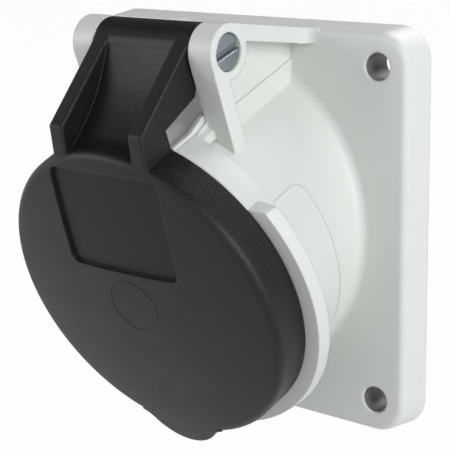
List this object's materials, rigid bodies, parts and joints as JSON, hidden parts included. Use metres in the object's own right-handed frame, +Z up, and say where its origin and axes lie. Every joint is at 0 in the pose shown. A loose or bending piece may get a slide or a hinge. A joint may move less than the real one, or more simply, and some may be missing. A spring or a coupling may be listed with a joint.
{
  "type": "industrial panel socket",
  "caption": "Panel-mounted industrial power socket: square flange with fixing holes, leaning round body and a spring-closed hinged lid.",
  "frame": {"origin": "centre of the four fixing holes, on the back face of the flange", "axes": "+Y into the panel, the socket faces -Y, +Z up with the hinge on top, +X to the right seen from the front"},
  "size_m": [0.085, 0.0762, 0.0913],
  "materials": {
    "housing_plastic": "light grey moulded, fine satin grain",
    "lid_plastic": "near black moulded, fine grain",
    "seal_rubber": "soft matt rubber",
    "zinc_steel": "zinc plated, bluish",
    "spring_steel": "bright drawn wire",
    "insulator_plastic": "grey glass-filled plastic",
    "contact_brass": "turned brass, nickel plated"
  },
  "bodies": {
    "housing": {"housing_body": "housing_plastic", "flange_gasket": "seal_rubber", "hinge_screw": "zinc_steel", "hinge_nut": "zinc_steel", "lid_spring": "spring_steel", "contact_carrier": "insulator_plastic", "contact_cover": "insulator_plastic", "carrier_retainer": "insulator_plastic", "terminal_screws": "zinc_steel", "carrier_screws": "zinc_steel", "centre_screw": "zinc_steel", "earth_sleeve": "contact_brass", "contact_sleeve_l1": "contact_brass", "contact_sleeve_l2": "contact_brass", "contact_sleeve_l3": "contact_brass", "contact_sleeve_n": "contact_brass", "contact_clip_earth": "spring_steel", "contact_clip_l1": "spring_steel", "contact_clip_l2": "spring_steel", "contact_clip_l3": "spring_steel", "contact_clip_n": "spring_steel"},
    "lid": {"lid": "lid_plastic", "lid_gasket": "seal_rubber"}
  },
  "joints": [
    {"name": "lid_hinge", "type": "hinge", "parent": "housing", "child": "lid", "pos_m": [0, -0.03336, 0.03966], "axis": [-1, 0, 0], "range_deg": [0, 115], "stiffness_Nm_per_rad": 0.08, "springref_deg": -57.3}
  ]
}
